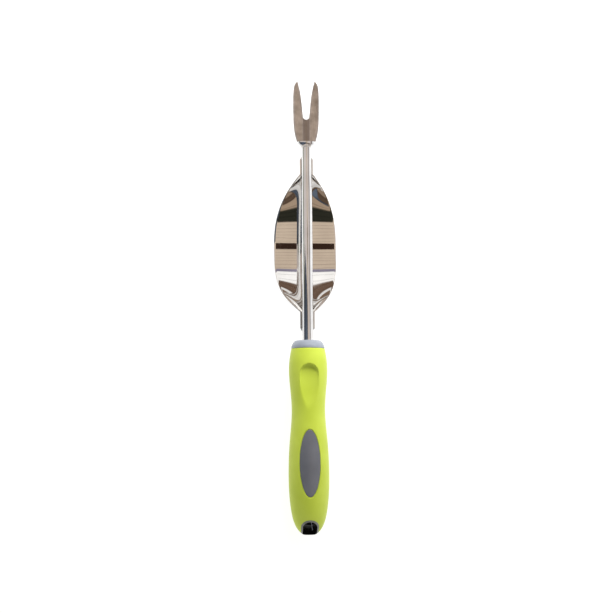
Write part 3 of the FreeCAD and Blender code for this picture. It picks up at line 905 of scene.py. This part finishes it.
def studio_world():
    """A soft white tent for light, and the planks and gaps of a workshop for the metal to mirror."""
    world = bpy.data.worlds.new("soft_studio")
    world.use_nodes = True
    world.cycles.sampling_method = "NONE"
    tree = world.node_tree
    tree.nodes.clear()
    way = add(tree, "ShaderNodeTexCoord").outputs["Generated"]
    parts = add(tree, "ShaderNodeSeparateXYZ", {"Vector": way}).outputs
    tent = add(tree, "ShaderNodeValToRGB", {"Fac": parts["Z"]}, [(0.0, 1.0), (0.45, 0.62), (1.0, 0.2)])
    back = add(tree, "ShaderNodeMath", {0: parts["Y"]}, operation="MULTIPLY")
    back.inputs[1].default_value = -1.0
    angle = add(tree, "ShaderNodeMath", {0: back.outputs[0], 1: parts["Z"]}, operation="ARCTAN2")
    share = add(tree, "ShaderNodeMapRange", {"Value": angle.outputs[0]}, From_Min=-math.pi / 2,
                From_Max=math.pi / 2)
    # each band blends into the next over 0.6 degrees
    stops, blend = [], 0.3
    for low, high, shade in WORKSHOP_BANDS:
        stops += [((low + 90 + blend) / 180, shade), ((high + 90 - blend) / 180, shade)]
    bands = add(tree, "ShaderNodeValToRGB", {"Fac": share.outputs["Result"]}, stops)
    # dark seams between planks about 5 degrees apart
    planks = add(tree, "ShaderNodeMath", {0: share.outputs["Result"]}, operation="MULTIPLY")
    planks.inputs[1].default_value = 37.0
    wander = add(tree, "ShaderNodeTexNoise", {"Vector": way}, Scale=5.0, Detail=2.0)
    wavy = add(tree, "ShaderNodeMath", {0: planks.outputs[0], 1: wander.outputs["Fac"]}, operation="ADD")
    fold = add(tree, "ShaderNodeMath", {0: wavy.outputs[0]}, operation="FRACT")
    seams = add(tree, "ShaderNodeValToRGB", {"Fac": fold.outputs[0]},
                [(0.0, 0.45), (0.08, 0.5), (0.16, 1.0), (0.8, 0.95), (1.0, 1.0)])
    planked = add(tree, "ShaderNodeMixRGB",
                  {"Color1": bands.outputs["Color"], "Color2": seams.outputs["Color"]},
                  blend_type="MULTIPLY", Fac=0.75)
    sideways = add(tree, "ShaderNodeMapRange", {"Value": parts["X"]}, From_Min=-1.0, From_Max=1.0)
    walls = add(tree, "ShaderNodeValToRGB", {"Fac": sideways.outputs["Result"]}, [
        (0.0, "#7b8070"), (0.025, "#7b8070"), (0.05, "#c9c4c0"), (0.2, "#cdc3be"), (0.8, "#cdc3be"),
        (0.855, "#857c76"), (0.92, "#8f8781"), (0.94, "#f2f4f6"), (1.0, "#ffffff")])
    ahead = add(tree, "ShaderNodeMath", {0: parts["Y"]}, operation="ABSOLUTE")
    beyond = add(tree, "ShaderNodeMapRange", {"Value": ahead.outputs[0]}, From_Min=0.6, From_Max=0.75)
    around = add(tree, "ShaderNodeMixRGB",
                 {"Fac": beyond.outputs["Result"], "Color1": walls.outputs["Color"]}, Color2=(1, 1, 1, 1))
    # the planks fill a lane overhead that widens towards both ends
    reach = add(tree, "ShaderNodeMapRange", {"Value": ahead.outputs[0]}, From_Min=0.45, From_Max=0.8,
                To_Min=0.17, To_Max=0.9)
    centred = add(tree, "ShaderNodeMath", {0: parts["X"]}, operation="SUBTRACT")
    centred.inputs[1].default_value = 0.07
    aside = add(tree, "ShaderNodeMath", {0: centred.outputs[0]}, operation="ABSOLUTE")
    within = add(tree, "ShaderNodeMath", {0: reach.outputs["Result"], 1: aside.outputs[0]},
                 operation="SUBTRACT")
    lane = add(tree, "ShaderNodeMapRange", {"Value": within.outputs[0]}, From_Min=-0.01, From_Max=0.01)
    mirrored = add(tree, "ShaderNodeMixRGB",
                   {"Fac": lane.outputs["Result"], "Color1": around.outputs["Color"],
                    "Color2": planked.outputs["Color"]})
    light = add(tree, "ShaderNodeBackground", {"Color": tent.outputs["Color"]}, Strength=1.0)
    shown = add(tree, "ShaderNodeBackground", {"Color": mirrored.outputs["Color"]}, Strength=1.3)
    path = add(tree, "ShaderNodeLightPath")
    both = add(tree, "ShaderNodeMixShader", {0: path.outputs["Is Glossy Ray"], 1: light.outputs[0],
                                             2: shown.outputs[0]})
    add(tree, "ShaderNodeOutputWorld", {"Surface": both.outputs[0]})
    bpy.context.scene.world = world


def camera():
    low, high = (Vector(corner) for corner in cad_box)
    middle = 0.5 * (low + high)
    leftwards = 5.3
    distance = 1.25
    turn, rise, roll = math.radians(-4.0), math.radians(81.5), math.radians(-0.65)
    aim = Vector((math.sin(turn) * math.sin(rise), -math.cos(rise), math.cos(turn) * math.sin(rise)))
    aim.normalize()
    lens = bpy.data.cameras.new("studio_camera")
    lens.sensor_fit = "VERTICAL"
    sensor_height = 24.0
    lens.sensor_height = sensor_height
    frame_rows, row_height = 613, 0.7475
    lens.lens = sensor_height / (frame_rows * row_height * MM / distance)
    lens.clip_end = 50.0
    piece = bpy.data.objects.new("studio_camera", lens)
    side = (-aim).cross(Vector((0, 1, 0))).normalized()
    up = side.cross(-aim).normalized()
    turned_to = Matrix((side, up, aim)).transposed() @ Matrix.Rotation(roll, 3, "Z")
    middle = middle - side * leftwards * MM
    piece.matrix_world = Matrix.Translation(middle + aim * distance) @ turned_to.to_4x4()
    bpy.context.scene.collection.objects.link(piece)
    bpy.context.scene.camera = piece


floor()
studio_world()
flags()
soft_light("fork_end_softbox", (0.06, 0.19, 0.18), (0.2, 0.2), 1.05)
soft_light("right_softbox", (1.3, 0.5, 0.8), (1.0, 1.4), 4.2)
camera()
bpy.context.scene.view_settings.view_transform = "Standard"
